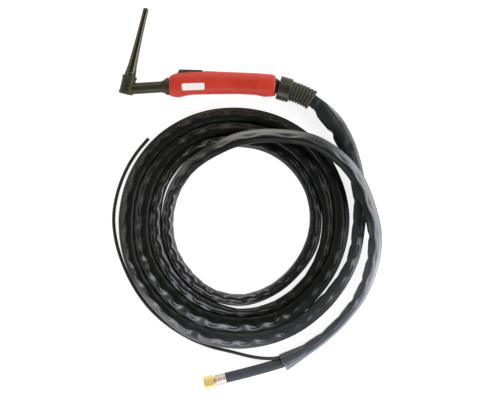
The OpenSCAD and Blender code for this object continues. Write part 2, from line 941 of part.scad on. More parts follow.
// Inner end of the power hose: it runs from the connector through the knuckle to the jacket
module handle_hose() {
    start = connector_start + connector_len;
    neck_point = function (s)
        [s * cos(neck_tilt) - handle_front, s * sin(neck_tilt) - neck_drop, 0];
    straight = neck_point(start + 24);
    ends = hose_line(-knuckle_lead, -1, 0);
    color(slate) torch_frame() difference() {
        swept(concat(
            [neck_point(start), neck_point(start + 12), straight],
            [for (p = [[0.29, 0.07], [0.56, 0.46], [0.79, 0.86]])
                [straight[0] + (ends[0] - straight[0]) * p[0], straight[1] + (ends[1] - straight[1]) * p[1], 0]],
            [for (s = [-knuckle_lead : knuckle_lead / 3 : knuckle_lead]) hose_line(s, -1, 0)],
            [hose_line(stem_end - 0.1, -1, 0)]
        ), handle_hose_dia, 12);
        neck_frame() bar(start - over, start + barb_len + 1, handle_hose_bore);
    }
}

// Knuckle

module swivel_ring() {
    color(black) torch_frame() difference() {
        bar(ring_front, ring_rear, swivel_dia);
        bar(ring_front - over, ring_rear + over, ring_bore);
        sphere(r = ring_in, $fn = 96);
    }
}

module ball_liner() {
    color(cream) torch_frame() spun() intersection() {
        difference() {
            circle(r = liner_out, $fn = 96);
            circle(r = ball_dia / 2 + liner_gap, $fn = 96);
        }
        translate([0, liner_front]) square([2 * liner_out, liner_rear - liner_front]);
    }
}

// Ball with its hollow stem; the bore flares into a mouth towards the handle
module knuckle_ball() {
    r = ball_bore / 2;
    color(black) torch_frame() stem_frame() spun() difference() {
        union() {
            circle(d = ball_dia, $fn = 96);
            square([stem_dia / 2, stem_end]);
        }
        polygon([
            [-ball_dia, -ball_dia], [r + 2.2, -ball_dia], [r + 2.2, -8.6], [r + 1.9, -7.4], [r, 0],
            [r, stem_end + over], [-ball_dia, stem_end + over]
        ]);
    }
}

// Collar: a dished nut that clamps the boot over the stem
module ball_collar() {
    r = collar_dia / 2;
    color(black) torch_frame() stem_frame() difference() {
        turned([
            [collar_start, 0], [collar_start, r - 1], [collar_start + 1, r], [collar_end - 2.4, r],
            [collar_end, r - 2.4], [collar_end, 0]
        ]);
        bar(collar_start - over, collar_wall_x, dish_dia);
        bar(collar_wall_x - over, collar_wall_x + 4, stem_dia + 2 * run_gap);
        bar(collar_wall_x + 2.6, collar_end + over, collar_bore);
    }
}

// Ring of points round the boot's centre line, which bends after the collar
function boot_ring(s, r, sides) =
    let (a = max(0, s - collar_end) / boot_radius * 180 / PI)
    [for (k = [0 : sides - 1])
        let (q = 360 * k / sides, reach = boot_radius - r * cos(q))
        [min(s, collar_end) + reach * sin(a), reach * cos(a) - boot_radius, r * sin(q)]];

// Solid along the boot's centre line; the profile is drawn as [distance, radius]
module boot_form(profile, sides) {
    lofted([for (p = profile) each boot_ring(p[0], p[1], sides)], sides, len(profile));
}

// Distances along the boot: where each rib starts and where the boot ends
function rib_at(k) = collar_end + k * (boot_len - boot_rim) / rib_count;

// Ribbed boot round the stem and the first bend of the jacket
module bend_boot() {
    crest = rib_dia / 2;
    valley = boot_dia / 2;
    end = collar_end + boot_len;
    bore = jacket_dia / 2 + 0.35;
    color(black) torch_frame() stem_frame() difference() {
        boot_form([
            [collar_wall_x + 2.65, collar_bore / 2 - run_gap], [collar_end, collar_bore / 2 - run_gap],
            for (k = [0 : rib_count - 1]) each [
                [rib_at(k) + 0.3, k == 0 ? crest - 0.8 : valley + 0.4], [rib_at(k) + 0.9, crest],
                [rib_at(k) + rib_t - 0.5, crest], [rib_at(k) + rib_t, valley + 0.5],
                [rib_at(k) + rib_t + 0.5, valley], [rib_at(k + 1) - 0.4, valley]
            ],
            [end - boot_rim + 0.4, crest], [end - 1, crest], [end, crest - 1]
        ], 32);
        bar(collar_wall_x, stem_end + run_gap, stem_dia + 2 * run_gap);
        boot_form([[stem_end, bore], for (k = [0 : 6]) [collar_end + k * boot_len / 6, bore], [end + 1, bore]], 24);
        boot_form([
            [rib_at(tie_valley) + rib_t, bore - 1], [rib_at(tie_valley) + rib_t, bore + tie_t + 0.1],
            [rib_at(tie_valley + 1), bore + tie_t + 0.1], [rib_at(tie_valley + 1), bore - 1]
        ], 24);
    }
}

// Band that ties the jacket inside one of the boot's valleys
module sleeve_tie() {
    from = rib_at(tie_valley) + rib_t + 0.1;
    turn = (from - collar_end) / boot_radius * 180 / PI;
    inner = jacket_dia / 2 + 0.2;
    color(cream) torch_frame() stem_frame() translate([collar_end, -boot_radius, 0]) rotate([0, 0, -turn])
        translate([0, boot_radius, 0]) difference() {
            bar(0, tie_w, 2 * (inner + tie_t));
            bar(-over, tie_w + over, 2 * inner);
        }
}

// Hose package

module jacket_lead() {
    color(black) swept(lead_route, jacket_dia, 12);
}

// The jacket's flat coil, as one ring of its outer shape
module jacket_coil() {
    r = jacket_dia / 2;
    color(black) translate(coil_at) rotate_extrude($fn = 96) {
        translate([coil_inner + r, -r]) square([coil_outer - coil_inner - jacket_dia, jacket_dia]);
        translate([coil_inner + r, 0]) circle(r = r);
        translate([coil_outer - r, 0]) circle(r = r);
    }
}

module jacket_tail() {
    color(black) swept(tail_route, jacket_dia, 12);
}

module power_hose() {
    color(slate) difference() {
        swept(hose_route, hose_dia, 12);
        union_frame() bar(hose_in - 24, hose_in + over, hose_core);
    }
}

module control_cable() {
    color(black) swept(cable_route, cable_dia, 10);
}

// Union at the machine end

module hose_ferrule() {
    r = hose_dia / 2 + run_gap + ferrule_wall;
    color(steel) union_frame() difference() {
        turned([
            [0, 0], [0, r - 0.3], [0.4, r],
            for (k = [0 : 2]) each [
                [2.4 + 4 * k, r], [2.9 + 4 * k, r - 0.35], [4.7 + 4 * k, r - 0.35], [5.2 + 4 * k, r]
            ],
            [ferrule_len - 1.2, r], [ferrule_len, r - 1.6], [ferrule_len, 0]
        ]);
        bar(-over, ferrule_len - ferrule_back, hose_dia + 2 * run_gap);
        bar(0, ferrule_len + over, tail_body_dia + 2 * run_gap);
    }
}

// Hose tail: barbed in the hose, flanged behind the ferrule's wall, with a coned nose
module hose_tail() {
    r = hose_core / 2 - run_gap;
    flange = ferrule_len - ferrule_back - run_gap;
    color(brass) union_frame() difference() {
        turned([
            [hose_in - 22, 0], [hose_in - 22, r - 0.6],
            for (k = [0 : 3]) each [
                [hose_in - 20 + 4.5 * k, r], [hose_in - 19.6 + 4.5 * k, r], [hose_in - 17.5 + 4.5 * k, r - 0.5]
            ],
            [hose_in + run_gap, r - 0.5], [hose_in + run_gap, hose_dia / 2 - 0.4],
            [flange, hose_dia / 2 - 0.4], [flange, tail_body_dia / 2],
            [nut_start - 0.6, tail_body_dia / 2], [nut_start - 0.6, tail_neck_dia / 2],
            [nose_at, tail_neck_dia / 2], [nose_at, nose_dia / 2], [nose_at + 1.4, nose_dia / 2],
            [nose_end, 3.1], [nose_end, 0]
        ]);
        bar(hose_in - 23, nose_end + over, tail_bore);
        seal_ring(seal_wire + 0.03);
    }
}

module seal_ring(r) {
    translate([seal_at, 0, 0]) rotate([0, 90, 0])
        rotate_extrude($fn = 96) translate([seal_radius, 0]) circle(r = r, $fn = 24);
}

module nose_seal() {
    color(black) union_frame() seal_ring(seal_wire);
}

module union_nut() {
    r = nut_af / 2;
    crown = r / cos(30) + 0.2;
    front = nut_start + nut_len;
    color(brass) union_frame() difference() {
        intersection() {
            translate([nut_start, 0, 0]) rotate([0, 90, 0])
                rotate(30) cylinder(d = nut_af / cos(30), h = nut_len, $fn = 6);
            rotate([15, 0, 0]) turned([
                [nut_start, 0], [nut_start, r - 0.4], [nut_start + 1.5, crown],
                [front - 1.5, crown], [front, r - 0.4], [front, 0]
            ]);
        }
        bar(nut_start - over, front + over, tail_neck_dia + 2 * run_gap);
        bar(nut_start + nut_back, front - nut_thread_len, nut_thread_dia + nut_relief);
        bar(front - nut_thread_len - over, front + over, nut_thread_dia);
    }
}

head_core();
head_insulation();
neck_tube();
neck_bush();
back_cap();
cap_o_ring();
handle_left();
handle_right();
handle_screws();
label_plate();
trigger_lever();
trigger_pin();
trigger_spring();
switch_body();
switch_plunger();
switch_terminals();
switch_wires();
torch_connector();
crimp_ferrule();
handle_hose();
swivel_ring();
ball_liner();
knuckle_ball();
ball_collar();
bend_boot();
sleeve_tie();
jacket_lead();
jacket_coil();
jacket_tail();
power_hose();
control_cable();
hose_ferrule();
hose_tail();
nose_seal();
union_nut();
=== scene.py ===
import bpy
import json
import math
import numpy as np
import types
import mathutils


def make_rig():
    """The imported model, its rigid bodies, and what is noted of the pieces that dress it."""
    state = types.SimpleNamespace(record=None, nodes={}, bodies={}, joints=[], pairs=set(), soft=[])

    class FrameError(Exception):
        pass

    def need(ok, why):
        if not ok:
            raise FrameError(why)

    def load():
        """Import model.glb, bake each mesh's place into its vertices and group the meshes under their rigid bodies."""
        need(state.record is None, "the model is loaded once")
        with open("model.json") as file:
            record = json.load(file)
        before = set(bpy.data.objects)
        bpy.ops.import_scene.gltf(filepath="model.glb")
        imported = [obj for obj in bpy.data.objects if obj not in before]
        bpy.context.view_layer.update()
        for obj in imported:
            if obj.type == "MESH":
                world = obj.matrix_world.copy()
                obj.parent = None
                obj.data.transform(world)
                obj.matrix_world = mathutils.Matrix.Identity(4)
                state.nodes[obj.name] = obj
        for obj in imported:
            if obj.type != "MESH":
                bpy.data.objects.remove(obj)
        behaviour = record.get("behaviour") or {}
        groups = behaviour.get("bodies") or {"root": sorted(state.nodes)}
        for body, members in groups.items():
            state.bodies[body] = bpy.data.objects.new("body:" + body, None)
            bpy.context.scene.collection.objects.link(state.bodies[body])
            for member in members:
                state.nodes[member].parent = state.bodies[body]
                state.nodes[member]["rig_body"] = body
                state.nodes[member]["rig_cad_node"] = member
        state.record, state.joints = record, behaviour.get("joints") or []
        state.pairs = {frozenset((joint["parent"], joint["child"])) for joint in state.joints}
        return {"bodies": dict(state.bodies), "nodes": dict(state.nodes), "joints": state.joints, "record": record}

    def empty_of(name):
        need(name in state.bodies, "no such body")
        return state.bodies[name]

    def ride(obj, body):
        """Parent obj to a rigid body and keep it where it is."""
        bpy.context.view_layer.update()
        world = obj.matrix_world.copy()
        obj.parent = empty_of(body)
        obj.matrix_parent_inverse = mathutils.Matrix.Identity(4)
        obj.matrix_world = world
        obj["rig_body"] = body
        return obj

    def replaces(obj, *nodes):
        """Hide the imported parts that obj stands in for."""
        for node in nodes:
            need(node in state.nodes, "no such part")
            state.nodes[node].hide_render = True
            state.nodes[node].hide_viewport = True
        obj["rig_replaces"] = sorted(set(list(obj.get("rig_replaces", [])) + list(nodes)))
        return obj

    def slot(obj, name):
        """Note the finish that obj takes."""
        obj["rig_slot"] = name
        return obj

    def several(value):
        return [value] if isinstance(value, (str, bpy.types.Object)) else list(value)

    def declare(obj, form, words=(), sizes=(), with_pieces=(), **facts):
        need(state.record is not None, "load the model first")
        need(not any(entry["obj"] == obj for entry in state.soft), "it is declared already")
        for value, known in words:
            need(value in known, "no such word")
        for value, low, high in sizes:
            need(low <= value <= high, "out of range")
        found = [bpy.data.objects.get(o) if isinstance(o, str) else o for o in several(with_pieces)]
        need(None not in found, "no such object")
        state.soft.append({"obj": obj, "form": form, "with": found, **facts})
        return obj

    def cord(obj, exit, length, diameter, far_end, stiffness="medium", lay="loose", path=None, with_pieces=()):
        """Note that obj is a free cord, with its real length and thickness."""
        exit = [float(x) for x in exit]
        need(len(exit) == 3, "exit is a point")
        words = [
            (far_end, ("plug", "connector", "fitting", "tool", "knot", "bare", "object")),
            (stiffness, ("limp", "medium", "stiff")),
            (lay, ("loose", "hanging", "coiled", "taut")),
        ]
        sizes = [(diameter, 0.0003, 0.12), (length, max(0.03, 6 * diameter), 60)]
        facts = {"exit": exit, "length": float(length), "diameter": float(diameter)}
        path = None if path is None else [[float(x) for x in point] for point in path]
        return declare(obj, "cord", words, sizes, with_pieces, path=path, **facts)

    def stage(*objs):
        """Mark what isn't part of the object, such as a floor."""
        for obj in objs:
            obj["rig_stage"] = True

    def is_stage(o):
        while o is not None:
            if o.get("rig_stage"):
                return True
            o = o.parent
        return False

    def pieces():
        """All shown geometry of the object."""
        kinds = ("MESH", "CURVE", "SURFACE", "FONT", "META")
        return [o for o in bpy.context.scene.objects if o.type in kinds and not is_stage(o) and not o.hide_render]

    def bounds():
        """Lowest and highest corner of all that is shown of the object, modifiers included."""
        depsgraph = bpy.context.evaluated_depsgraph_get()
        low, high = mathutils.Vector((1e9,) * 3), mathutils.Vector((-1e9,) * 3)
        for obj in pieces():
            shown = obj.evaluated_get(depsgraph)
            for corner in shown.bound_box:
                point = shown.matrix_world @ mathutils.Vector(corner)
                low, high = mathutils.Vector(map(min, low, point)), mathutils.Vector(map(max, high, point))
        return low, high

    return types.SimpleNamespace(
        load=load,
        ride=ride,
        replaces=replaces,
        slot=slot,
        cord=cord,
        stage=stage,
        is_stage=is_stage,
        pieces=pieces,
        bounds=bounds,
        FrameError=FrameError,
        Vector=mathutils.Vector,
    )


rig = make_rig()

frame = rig.load()
cad_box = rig.bounds()
nodes = frame["nodes"]


# ---------------------------------------------------------------------------
# Torch head: a brass core moulded into a black phenolic body, on an insulated
# copper neck tube. The core takes the back cap above and the collet below.
# ---------------------------------------------------------------------------

class Wire:
    """A value in a material. Sums and products add Math nodes, node() adds any other node."""

    def __init__(self, tree, socket):
        self.tree = tree
        self.socket = socket

    def node(self, kind, settings=(), sockets=(), out=0):
        """A new node with these settings, values and links, as the wire of one of its outputs."""
        made = self.tree.nodes.new("ShaderNode" + kind)
        for key, value in dict(settings).items():
            setattr(made, key, value)
        for key, value in dict(sockets).items():
            if isinstance(value, Wire):
                self.tree.links.new(value.socket, made.inputs[key])
            else:
                made.inputs[key].default_value = value
        return Wire(self.tree, made.outputs[out])

    def maths(self, operation, *values):
        return self.node("Math", {"operation": operation}, dict(enumerate(values)))

    def __add__(self, other):
        return self.maths("ADD", self, other)

    def __radd__(self, other):
        return self.maths("ADD", other, self)

    def __mul__(self, other):
        return self.maths("MULTIPLY", self, other)

    def __rmul__(self, other):
        return self.maths("MULTIPLY", other, self)

    def ramp(self, low, high, to_low=0.0, to_high=1.0):
        """Eases from one value to another as this one goes from low to high."""
        return self.node(
            "MapRange",
            {"interpolation_type": "SMOOTHSTEP"},
            {"Value": self, "From Min": low, "From Max": high, "To Min": to_low, "To Max": to_high},
        )

    def blend(self, first, second):
        """Colour between two others, by this value."""
        colours = {
            socket: (*colour, 1) if isinstance(colour, tuple) else colour
            for socket, colour in ((6, first), (7, second))
        }
        return self.node("Mix", {"data_type": "RGBA"}, {0: self, **colours}, out=2)

    def noise(self, scale, detail=3.0, rough=0.55, distortion=0.0):
        """Cloudy value at this place."""
        return self.node(
            "TexNoise",
            (),
            {"Vector": self, "Scale": scale, "Detail": detail, "Roughness": rough,
             "Distortion": distortion},
        )

    def bump(self, strength, distance, under=None):
        """Normal of a surface raised by this value, in metres at full strength."""
        sockets = {"Strength": strength, "Distance": distance, "Height": self}
        if under is not None:
            sockets["Normal"] = under
        return self.node("Bump", (), sockets)


def finish(name):
    """A new material, as the place on the piece and the function that sets the shader."""
    made = bpy.data.materials.new(name)
    made.use_nodes = True
    tree = made.node_tree
    shader = tree.nodes["Principled BSDF"]
    place = Wire(tree, None).node("TexCoord", out="Object")

    def coat(**values):
        for key, value in values.items():
            socket = shader.inputs[key.replace("_", " ")]
            if isinstance(value, Wire):
                tree.links.new(value.socket, socket)
            elif isinstance(value, tuple):
                socket.default_value = (*value, 1)
            else:
                socket.default_value = value
        return made

    return place, coat


def wear(material, *names):
    """Gives these CAD nodes the material."""
    for name in names:
        piece = nodes[name]
        piece.data.materials.clear()
        piece.data.materials.append(material)


place, coat = finish("black_phenolic")
cloud = place.noise(90, 4)
grain = place.noise(2600, 2)
black_phenolic = coat(
    Base_Color=cloud.blend((0.010, 0.010, 0.008), (0.022, 0.021, 0.016)),
    Roughness=cloud.ramp(0.3, 0.7, 0.40, 0.55),
    Specular_IOR_Level=0.45,
    Specular_Tint=(0.95, 1.0, 0.50),
    Normal=grain.bump(0.35, 0.00006, cloud.bump(0.2, 0.0003)),
)
wear(black_phenolic, "head_insulation", "neck_bush")

place, coat = finish("head_brass")
turning = place.noise(700, 2, 0.5)
tarnish = place.noise(60, 4)
head_brass = coat(
    Base_Color=tarnish.blend((0.72, 0.50, 0.20), (0.46, 0.31, 0.13)),
    Metallic=1.0,
    Roughness=tarnish.ramp(0.35, 0.7, 0.24, 0.42),
    Normal=turning.bump(0.3, 0.00004),
)
wear(head_brass, "head_core")

place, coat = finish("neck_copper")
dull = place.noise(80, 4)
neck_copper = coat(
    Base_Color=dull.blend((0.74, 0.36, 0.22), (0.42, 0.19, 0.12)),
    Metallic=1.0,
    Roughness=dull.ramp(0.3, 0.7, 0.3, 0.5),
    Normal=place.noise(1500, 2).bump(0.2, 0.00003),
)
wear(neck_copper, "neck_tube")


# ---------------------------------------------------------------------------
# Back cap: one long phenolic cap with a fluted base, polished by the mould.
# It screws into the head on its O-ring and closes the collet.
# ---------------------------------------------------------------------------

place, coat = finish("cap_phenolic")
cloud = place.noise(70, 4)
scuff = place.noise(1400, 3, 0.6)
cap_phenolic = coat(
    Base_Color=cloud.blend((0.010, 0.009, 0.006), (0.022, 0.019, 0.012)),
    Roughness=scuff.ramp(0.35, 0.75, 0.13, 0.22),
    Specular_IOR_Level=0.8,
    Specular_Tint=(1.0, 0.98, 0.66),
    Normal=scuff.bump(0.12, 0.00005),
)
wear(cap_phenolic, "back_cap")

place, coat = finish("ring_rubber")
dust = place.noise(400, 3)
ring_rubber = coat(
    Base_Color=dust.blend((0.012, 0.012, 0.012), (0.035, 0.034, 0.032)),
    Roughness=dust.ramp(0.3, 0.7, 0.45, 0.65),
    Normal=dust.bump(0.2, 0.0001),
)
wear(ring_rubber, "cap_o_ring", "nose_seal")


# ---------------------------------------------------------------------------
# Handle: two red glass-filled nylon shells, screwed together on their mid
# plane, with a spark-eroded texture and a diamond grip on both sides.
# ---------------------------------------------------------------------------

place, coat = finish("red_nylon")
mottle = place.noise(45, 4)
fleck = place.noise(1700, 2, 0.6)
erosion = place.noise(900, 3, 0.6)
red_nylon = coat(
    Base_Color=(mottle * 0.6 + fleck * 0.4).blend((0.45, 0.030, 0.016), (0.61, 0.047, 0.023)),
    Roughness=mottle.ramp(0.3, 0.7, 0.42, 0.55),
    Specular_IOR_Level=0.32,
    Normal=erosion.bump(0.35, 0.00018),
)
wear(red_nylon, "handle_left", "handle_right")

place, coat = finish("screw_steel")
brushed = place.noise(900, 3)
screw_steel = coat(
    Base_Color=brushed.blend((0.50, 0.50, 0.51), (0.36, 0.36, 0.36)),
    Metallic=1.0,
    Roughness=brushed.ramp(0.3, 0.7, 0.25, 0.45),
    Normal=brushed.bump(0.2, 0.00004),
)
wear(screw_steel, "handle_screws", "trigger_pin", "trigger_spring")

place, coat = finish("label_film")
smudge = place.noise(120, 4)
label_film = coat(
    Base_Color=smudge.blend((0.86, 0.81, 0.71), (0.92, 0.88, 0.80)),
    Roughness=smudge.ramp(0.3, 0.7, 0.35, 0.5),
    Normal=place.noise(900, 2).bump(0.1, 0.00006),
)
wear(label_film, "label_plate")


# ---------------------------------------------------------------------------
# Switch: an olive nylon lever on a steel pin presses a small plunger switch.
# The lever springs back; the switch sits on two pegs of the left shell.
# ---------------------------------------------------------------------------

place, coat = finish("olive_nylon")
mottle = place.noise(160, 4)
olive_nylon = coat(
    Base_Color=mottle.blend((0.050, 0.047, 0.034), (0.085, 0.079, 0.058)),
    Roughness=mottle.ramp(0.3, 0.7, 0.42, 0.58),
    Normal=place.noise(1300, 3).bump(0.3, 0.00012),
)
wear(olive_nylon, "trigger_lever")

place, coat = finish("switch_plastic")
mottle = place.noise(220, 3)
switch_plastic = coat(
    Base_Color=mottle.blend((0.020, 0.021, 0.024), (0.040, 0.041, 0.045)),
    Roughness=mottle.ramp(0.3, 0.7, 0.35, 0.5),
    Normal=place.noise(1500, 2).bump(0.2, 0.00006),
)
wear(switch_plastic, "switch_body", "switch_plunger")

place, coat = finish("tinned_terminal")
dull = place.noise(500, 3)
tinned_terminal = coat(
    Base_Color=dull.blend((0.66, 0.65, 0.62), (0.46, 0.45, 0.42)),
    Metallic=1.0,
    Roughness=dull.ramp(0.3, 0.7, 0.28, 0.45),
    Normal=dull.bump(0.15, 0.00004),
)
wear(tinned_terminal, "switch_terminals")

place, coat = finish("wire_pvc")
dust = place.noise(260, 3)
wire_pvc = coat(
    Base_Color=dust.blend((0.030, 0.032, 0.040), (0.055, 0.057, 0.066)),
    Roughness=dust.ramp(0.3, 0.7, 0.35, 0.5),
    Normal=dust.bump(0.1, 0.0001),
)
wear(wire_pvc, "switch_wires")


# ---------------------------------------------------------------------------
# Inside the handle: the neck's brass connector with its hose barb, a crimped
# ferrule and the short rubber hose that carries current and gas rearwards.
# ---------------------------------------------------------------------------

place, coat = finish("fitting_brass")
turning = place.noise(800, 2)
tarnish = place.noise(90, 4)
fitting_brass = coat(
    Base_Color=tarnish.blend((0.78, 0.56, 0.24), (0.56, 0.38, 0.16)),
    Metallic=1.0,
    Roughness=tarnish.ramp(0.3, 0.7, 0.22, 0.4),
    Normal=turning.bump(0.25, 0.00004),
)
wear(fitting_brass, "torch_connector")

place, coat = finish("ferrule_nickel")
cloud = place.noise(140, 4)
rub_marks_and_crest_highlight = place.noise(1100, 3)
ferrule_nickel = coat(
    Base_Color=cloud.blend((0.78, 0.70, 0.60), (0.64, 0.56, 0.46)),
    Metallic=0.8,
    Roughness=cloud.ramp(0.3, 0.7, 0.40, 0.52),
    Normal=rub_marks_and_crest_highlight.bump(0.2, 0.00005),
)
wear(ferrule_nickel, "crimp_ferrule", "hose_ferrule")

place, coat = finish("hose_rubber")
haze = place.noise(60, 4)
cloth = place.noise(1600, 2)
hose_rubber = coat(
    Base_Color=haze.blend((0.036, 0.042, 0.047), (0.055, 0.062, 0.068)),
    Roughness=haze.ramp(0.3, 0.7, 0.50, 0.66),
    Specular_IOR_Level=0.4,
    Normal=cloth.bump(0.25, 0.00008, haze.bump(0.15, 0.0004)),
)
wear(hose_rubber, "handle_hose")


# ---------------------------------------------------------------------------
# Knuckle: the handle swivels on a ring, and the ring rocks with its liner on
# a ball. A dished collar backs the ball, and a ribbed rubber boot, held by a
# cord tie, keeps the hoses from kinking behind it.
# ---------------------------------------------------------------------------

place, coat = finish("knuckle_plastic")
cloud = place.noise(110, 4)
grain = place.noise(1500, 3)
knuckle_plastic = coat(
    Base_Color=cloud.blend((0.010, 0.010, 0.010), (0.026, 0.024, 0.022)),
    Roughness=cloud.ramp(0.3, 0.7, 0.34, 0.5),
    Specular_Tint=(0.93, 1.0, 0.66),
    Normal=grain.bump(0.25, 0.00008),
)
wear(knuckle_plastic, "knuckle_ball", "ball_collar", "swivel_ring")

place, coat = finish("liner_acetal")
cloud = place.noise(300, 3)
liner_acetal = coat(
    Base_Color=cloud.blend((0.55, 0.54, 0.50), (0.68, 0.67, 0.63)),
    Roughness=cloud.ramp(0.3, 0.7, 0.35, 0.5),
    Normal=cloud.bump(0.1, 0.00005),
)
wear(liner_acetal, "ball_liner")


def tube(name, rings, body, material, looped=False):
    """A piece whose skin runs through equal rings of points.

    It has flat ends, or goes from the last ring back to the first if it is looped.
    """
    count = len(rings)
    sides = len(rings[0])
    faces = [
        (i * sides + k, i * sides + (k + 1) % sides, j * sides + (k + 1) % sides, j * sides + k)
        for i, j in zip(range(count), [*range(1, count), *([0] if looped else [])])
        for k in range(sides)
    ]
    if not looped:
        faces += [tuple(range(sides - 1, -1, -1)), tuple(range((count - 1) * sides, count * sides))]
    mesh = bpy.data.meshes.new(name)
    mesh.from_pydata([tuple(v) for v in np.asarray(rings).reshape(-1, 3)], [], faces)
    mesh.shade_smooth()
    mesh.materials.append(material)
    piece = bpy.data.objects.new(name, mesh)
    bpy.context.scene.collection.objects.link(piece)
    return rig.ride(piece, body)


def paint(piece, name, values):
    """Gives each point of a piece a value that its material reads by name."""
    piece.data.attributes.new(name, "FLOAT", "POINT").data.foreach_set("value", np.ravel(values))


place, coat = finish("boot_rubber")
dust = place.noise(240, 4, 0.6)
grain = place.noise(1800, 2)
# The rib crests are painted a lighter grey: a painted highlight, laid over random dust
rub_marks_and_crest_highlight = place.node("Attribute", {"attribute_name": "rub_marks_and_crest_highlight"}, out="Fac")
grey = dust * 0.3 + rub_marks_and_crest_highlight * (dust * 0.8 + 0.1)
boot_rubber = coat(
    Base_Color=grey.blend((0.008, 0.008, 0.007), (0.070, 0.069, 0.060)),
    Roughness=dust.ramp(0.3, 0.7, 0.44, 0.60),
    Specular_IOR_Level=0.34,
    Specular_Tint=(0.95, 1.0, 0.58),
    Normal=grain.bump(0.3, 0.00010, dust.bump(0.2, 0.0002)),
)
wear(boot_rubber, "sleeve_tie")

# Boot, in mm along its centre line and out from it. The line is straight under the collar and
# bends after it
ball_place = (81.6, -40.6, 18.0)
rest_bend = math.radians(16)
boot_start = 16.0
collar_end = 28.6
boot_end = 63.2
boot_bend = 124.0
boot_sides = 96
under_collar = 13.0
bore = 10.35
rib_foot = 13.5
rib_rise = 1.9
rib_pitch = 4.85
rim_start = 57.7
rim_foot = 13.9
rim_rise = 1.6
# Radius in mm above which a rib's crest takes the painted highlight
crest_highlight_from = 14.9

skin = [(boot_start, under_collar), (collar_end - 0.4, under_collar)]
for along in np.arange(collar_end + 0.1, rim_start, 0.35):
    from_crest = abs(2 * (((along - collar_end) / rib_pitch) % 1) - 1)
    skin.append((along, rib_foot + rib_rise * (1 - from_crest ** 2)))
for along in np.linspace(rim_start + 0.3, boot_end, 16):
    from_crest = abs(2 * (along - rim_start) / (boot_end - rim_start) - 1)
    skin.append((along, rim_foot + rim_rise * (1 - from_crest ** 4)))
lining = [
    (boot_end, rim_foot - 0.3), (boot_end, bore + 0.45),
    (boot_end - 0.3, bore + 0.05), (boot_end - 0.8, bore),
]
lining += [(along, bore) for along in np.linspace(boot_end - 2.2, boot_start, 31)]
around = np.arange(boot_sides) * 2 * np.pi / boot_sides
boot_rings = []
for along, radius in skin + lining:
    bent = max(0.0, along - collar_end) / boot_bend
    reach = boot_bend - radius * np.cos(around)
    ahead = min(along, collar_end) + reach * math.sin(bent)
    aside = reach * math.cos(bent) - boot_bend
    boot_rings.append(np.stack([
        ahead * math.cos(rest_bend) + aside * math.sin(rest_bend),
        aside * math.cos(rest_bend) - ahead * math.sin(rest_bend),
        -radius * np.sin(around),
    ], axis=1) + ball_place)
boot_rings = np.array(boot_rings) / 1000
boot = tube("bend_boot_rubber", boot_rings, "hose_package", boot_rubber, looped=True)
# Painted highlight on the crests of the ribs past the collar, from 0 to 1
crest = [
    np.clip((radius - crest_highlight_from) / 0.5, 0, 1) if along > collar_end else 0
    for along, radius in skin
]
paint(boot, "rub_marks_and_crest_highlight", np.repeat(crest + [0] * len(lining), boot_sides))
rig.replaces(boot, "bend_boot")
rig.slot(boot, "black_rubber")


# ---------------------------------------------------------------------------
# Sleeve: a 4 m jacket of black coated fabric round the hose and the cable,
# closed along one side by a flat welded strip. Coiled with the strip outside,
# it puckers along the inside of every turn.
# ---------------------------------------------------------------------------

def smooth_line(points, step):
    """Even points along a smooth curve through the given ones.

    How far along the curve they are comes second, and where the given ones are comes third.
    """
    given = np.array(points, float)
    given = np.vstack([2 * given[0] - given[1], given, 2 * given[-1] - given[-2]])
    steps = 40
    part = np.linspace(0, 1, steps, endpoint=False)[:, None]
    fine = []
    for a, b, c, d in zip(given, given[1:], given[2:], given[3:]):
        knot = [0.0]
        for first, second in ((a, b), (b, c), (c, d)):
            knot.append(knot[-1] + max(np.linalg.norm(second - first), 1e-9) ** 0.5)
        k = knot[1] + part * (knot[2] - knot[1])
        ab = ((knot[1] - k) * a + (k - knot[0]) * b) / (knot[1] - knot[0])
        bc = ((knot[2] - k) * b + (k - knot[1]) * c) / (knot[2] - knot[1])
        cd = ((knot[3] - k) * c + (k - knot[2]) * d) / (knot[3] - knot[2])
        abc = ((knot[2] - k) * ab + (k - knot[0]) * bc) / (knot[2] - knot[0])
        bcd = ((knot[3] - k) * bc + (k - knot[1]) * cd) / (knot[3] - knot[1])
        fine.append(((knot[2] - k) * abc + (k - knot[1]) * bcd) / (knot[2] - knot[1]))
    fine = np.vstack([*fine, given[-2:-1]])
    run = np.concatenate([[0], np.cumsum(np.linalg.norm(np.diff(fine, axis=0), axis=1))])
    along = np.linspace(0, run[-1], max(2, round(run[-1] / step) + 1))
    line = np.stack([np.interp(along, run, fine[:, k]) for k in range(3)], axis=1)
    return line, along, run[::steps]


def side_and_up(line):
    """Unit vectors to the left of a line and above it, at each of its points."""
    ahead = np.gradient(line, axis=0)
    ahead /= np.linalg.norm(ahead, axis=1)[:, None]
    side = np.cross([0, 0, 1], ahead)
    side /= np.linalg.norm(side, axis=1)[:, None]
    return side, np.cross(ahead, side)


def drift(along, step, seed):
    """Smooth random value from -1 to 1 that changes about once in each step."""
    knots = np.random.default_rng(seed).uniform(-1, 1, int(along[-1] / step) + 4)
    at = along / step
    before = at.astype(int)
    part = at - before
    part = part * part * (3 - 2 * part)
    return knots[before] * (1 - part) + knots[before + 1] * part


# Route, in metres: out of the knuckle and round to the coil
lead = [
    (0.105, -0.0473, 0.018), (0.109, -0.0485, 0.018), (0.120, -0.0522, 0.018),
    (0.1306, -0.0569, 0.018), (0.1406, -0.0625, 0.018), (0.1546, -0.0738, 0.017),
    (0.1664, -0.0872, 0.0145), (0.1756, -0.0995, 0.0125), (0.1925, -0.1312, 0.0115),
    (0.2052, -0.1684, 0.0098), (0.2118, -0.2078, 0.0098),
]
